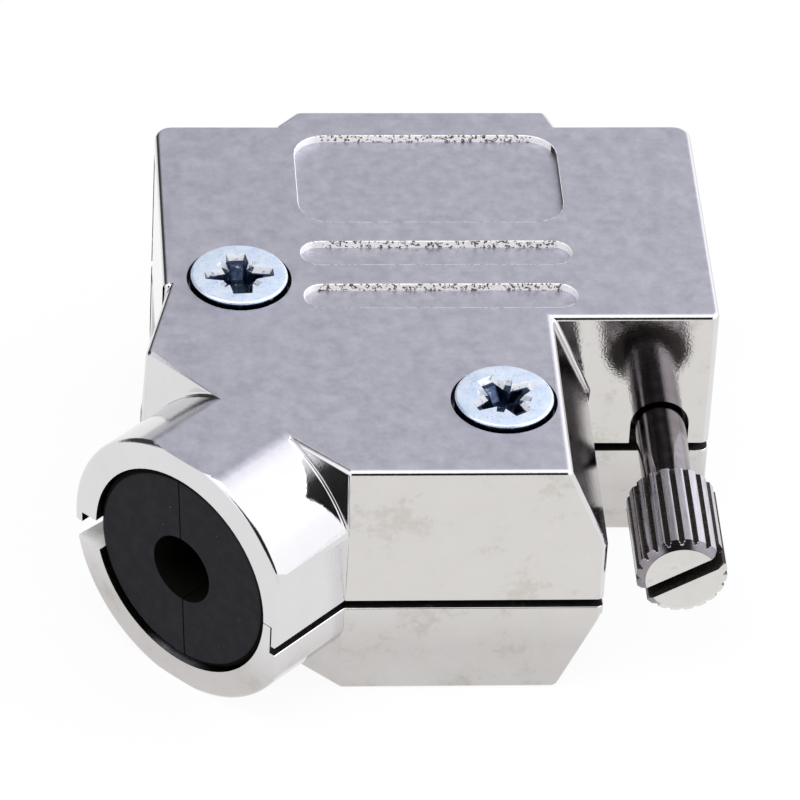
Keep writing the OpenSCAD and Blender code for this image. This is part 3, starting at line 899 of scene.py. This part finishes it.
def wing_cutter(reach, mid_half, tip_half, z_top, depth, foot_share, move):
    """A pair of recess wings that narrows downwards."""
    width_share = 0.7
    outline = [(-reach, -tip_half), (0.0, -mid_half), (reach, -tip_half),
               (reach, tip_half), (0.0, mid_half), (-reach, tip_half)]
    points = [(u * foot_share, v * width_share, -depth) for u, v in outline]
    points += [(u, v, z_top) for u, v in outline]
    count = len(outline)
    sides = [(k, (k + 1) % count, count + (k + 1) % count, count + k) for k in range(count)]
    ends = [tuple(reversed(range(count))), tuple(range(count, 2 * count))]
    return mesh_object("wing", points, sides + ends, move)


def cross_cutters(node, place):
    """Cutters of a cross recess with a lip around it, each with its top at a height of its own."""
    wing_top, lip_top, core_top = 0.10, 0.15, 0.20
    core_depth, core_foot_r, core_top_r = 1.05, 0.5, 1.05
    wing_foot, lip_foot = 0.42, 0.86
    core_steps = 32
    core = lathe([(-core_depth, plain(core_foot_r)), (core_top, plain(core_top_r))], core_steps)
    cutters = [mesh_object("core", *core, place @ Matrix.Rotation(math.radians(90), 4, "X"))]
    for turn, reach, mid_half, tip_half, depth in WINGS:
        move = place @ Matrix.Rotation(math.radians(SCREW_TURN[node] + turn), 4, "Z")
        cutters.append(wing_cutter(reach, mid_half, tip_half, wing_top, depth, wing_foot, move))
        wider = (reach + LIP_W, mid_half + LIP_W, tip_half + LIP_W)
        cutters.append(wing_cutter(*wider, lip_top, LIP_DEPTH, lip_foot, move))
    return cutters


def cross_screw(node, axis):
    """A pan head with a rounded rim and a cross recess."""
    tip_bevel = 0.2
    rim_step_deg, rim_steps = 15, 6
    head_steps = 96
    lit_tilt = 0.2
    low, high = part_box(node)
    foot, top = low[2] / MM, high[2] / MM
    seat = top - HEAD_H
    rows = [(foot, plain(SCREW_R - tip_bevel)), (foot + tip_bevel, plain(SCREW_R)),
            (seat, plain(SCREW_R)), (seat, plain(HEAD_R))]
    for k in range(rim_steps + 1):
        turn = math.radians(rim_step_deg * k)
        rim_r = HEAD_R - HEAD_ROUND + HEAD_ROUND * math.cos(turn)
        rows.append((top - HEAD_ROUND + HEAD_ROUND * math.sin(turn), plain(rim_r)))
    points, faces = lathe(rows, head_steps)
    upright = Matrix.Translation((*axis, 0.0)) @ Matrix.Rotation(math.radians(90), 4, "X")
    piece = mesh_object(f"{node}_turned", points, faces, upright)
    settle(cut_away(piece, cross_cutters(node, Matrix.Translation((*axis, top)))), node)

    def dark(mid, normal):
        """The side of the head and its recess, which take painted shade."""
        off = (mid.xy - axis).length
        recess = seat < mid.z < top - NEAR and off < RECESS_R
        side = seat < mid.z < top - HEAD_ROUND and off > HEAD_R - MARGIN
        return recess or side

    def on_lip(mid, normal):
        """Upper walls of the recess that look to the cable end, which take the painted glint."""
        near_top = top - LIP_DEPTH - NEAR < mid.z < top - NEAR
        return near_top and (mid.xy - axis).length < RECESS_R and normal.y < -lit_tilt

    refinish(piece, RECESS, dark)
    refinish(piece, PAINTED_GLINT, on_lip)


dress_hood()
thumbscrew("thumbscrew_right", x=JACK_X, grip=(-31.3, -24.9), grip_r=2.5, groove=(-16.55, -15.95),
           slot_depth=1.2, disc=(2.32, 0.45))
thumbscrew("thumbscrew_left", x=-JACK_X, grip=(-11.95, -8.45), grip_r=2.2, groove=(-8.40, -7.80),
           slot_depth=0.8)
for node, axis in SCREW_AXES.items():
    cross_screw(node, axis)
for node in ("grommet_half_left", "grommet_half_right"):
    half = dress(node, round_mm=0.5, angle_deg=60.0, segments=5, keep=away_from_rim)
    refinish(half, HOLE, in_dark)
dress("connector_front_shell", round_mm=0.1, angle_deg=50.0)
dress("front_insulator", round_mm=0.06, angle_deg=50.0)

for node, solid in frame["nodes"].items():
    if node not in replaced:
        solid.data.materials.clear()
        solid.data.materials.append(MATERIALS[SLOT_OF[node]])


# Floor, light and camera

def floor_material():
    """Pale floor: nearly white to the eye and in reflections, and still shaded by what stands on it."""
    s = Shader("floor")
    glow_share = 0.93
    s.set(Base_Color=(0.86, 0.86, 0.86, 1.0), Roughness=0.9)
    path = s.node("ShaderNodeLightPath")
    seen = s.math("MAXIMUM", path.outputs["Is Camera Ray"], path.outputs["Is Glossy Ray"])
    seen = s.math("MAXIMUM", seen, path.outputs["Is Transmission Ray"])
    glow = s.node("ShaderNodeEmission")
    surface = s.mix_shaders(s.math("MULTIPLY", seen, glow_share), s.bsdf.outputs[0], glow.outputs[0])
    s.link(surface, s.tree.nodes["Material Output"].inputs["Surface"])
    return s.material


def add_floor():
    half = 1.5
    gap = 0.02 * MM
    mesh = bpy.data.meshes.new("floor")
    corners = [(-half, -half, 0), (half, -half, 0), (half, half, 0), (-half, half, 0)]
    mesh.from_pydata(corners, [], [(0, 1, 2, 3)])
    floor = new_object("floor", mesh)
    floor.location.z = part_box("lower_shell")[0][2] - gap
    mesh.materials.append(floor_material())


def set_world():
    """White to the eye. Reflections see white above, to the right and ahead at the left, a dark room
    ahead and behind at the left, and a grey one behind that is dimmer at its left."""
    world = bpy.data.worlds.new("studio")
    bpy.context.scene.world = world
    world.use_nodes = True
    world.node_tree.nodes.clear()
    w = Nodes(world.node_tree)
    blue_cast = 1.03
    dim_share, lit_share = 0.72, 1.26

    def levels(stops, gain=1.0):
        """Grey levels by height."""
        greys = [(place, level * gain) for place, level in stops]
        return w.ramp(z, [(place, (grey, grey, grey * blue_cast)) for place, grey in greys])

    def share(source, start, end):
        return w.span(source, 0.0, 1.0, start, end, interpolation_type="SMOOTHSTEP")

    x, y, z = w.axes("Generated")
    wall = [(0.0, 0.9), (0.20, 0.8), (0.36, 0.36), (0.48, 0.45), (0.62, 0.56), (0.85, 0.75), (1.0, 1.4)]
    ahead = levels([(0.0, 0.02), (0.45, 0.02), (0.65, 0.04), (0.74, 1.4), (1.0, 1.4)])
    behind = w.mix(share(x, 0.0, 0.14), levels(wall, dim_share), levels(wall, lit_share))
    left_ahead = levels([(0.0, 1.0), (0.50, 1.4)])
    left_behind = levels([(0.0, 0.5), (0.15, 0.06), (0.80, 0.05), (0.90, 1.4)])
    right = levels([(0.0, 1.3), (0.60, 1.4), (1.0, 1.4)])
    ahead = w.mix(share(x, -0.40, -0.62), ahead, left_ahead)
    behind = w.mix(share(x, -0.20, -0.36), behind, left_behind)
    room = w.mix(share(y, -0.25, 0.25), ahead, behind)
    room = w.mix(share(x, 0.25, 0.50), room, right)
    light = w.node("ShaderNodeBackground")
    w.link(room, light.inputs["Color"])
    white = w.node("ShaderNodeBackground")
    white.inputs["Color"].default_value = (1, 1, 1, 1)
    seen = w.node("ShaderNodeLightPath").outputs["Is Camera Ray"]
    shown = w.mix_shaders(seen, light.outputs[0], white.outputs[0])
    w.link(shown, w.node("ShaderNodeOutputWorld").inputs["Surface"])


def add_lamp(name, at_mm, target_mm, size_mm, watts):
    data = bpy.data.lights.new(name, "AREA")
    data.shape = "RECTANGLE"
    data.size = size_mm[0] * MM
    data.size_y = size_mm[1] * MM
    data.energy = watts
    lamp = new_object(name, data)
    at = Vector(at_mm) * MM
    lamp.location = at
    lamp.rotation_euler = (Vector(target_mm) * MM - at).to_track_quat("-Z", "Y").to_euler()


def add_camera():
    a, e, roll = CAMERA_AZIMUTH, CAMERA_ELEVATION, CAMERA_ROLL
    ahead = Vector((math.sin(a) * math.cos(e), math.cos(a) * math.cos(e), -math.sin(e)))
    side = Vector((math.cos(a), -math.sin(a), 0.0))
    up = Vector((math.sin(a) * math.sin(e), math.cos(a) * math.sin(e), math.cos(e)))
    right = math.cos(roll) * side + math.sin(roll) * up
    above = math.cos(roll) * up - math.sin(roll) * side
    data = bpy.data.cameras.new("camera")
    data.sensor_width = SENSOR_MM
    data.lens = FOCAL_PX / IMAGE_PX * SENSOR_MM
    data.clip_start = 10 * MM
    camera = new_object("camera", data)
    turned = Matrix((right, above, -ahead)).transposed().to_4x4()
    camera.matrix_world = Matrix.Translation(CAMERA_AT) @ turned
    bpy.context.scene.camera = camera


add_floor()
set_world()
add_lamp("key", at_mm=(-120, -130, 380), target_mm=(0, -15, 0), size_mm=(240, 200), watts=0.5)
add_lamp("fill", at_mm=(260, -60, 200), target_mm=(0, -15, 0), size_mm=(160, 160), watts=0.2)
add_camera()
bpy.context.scene.view_settings.view_transform = "Standard"
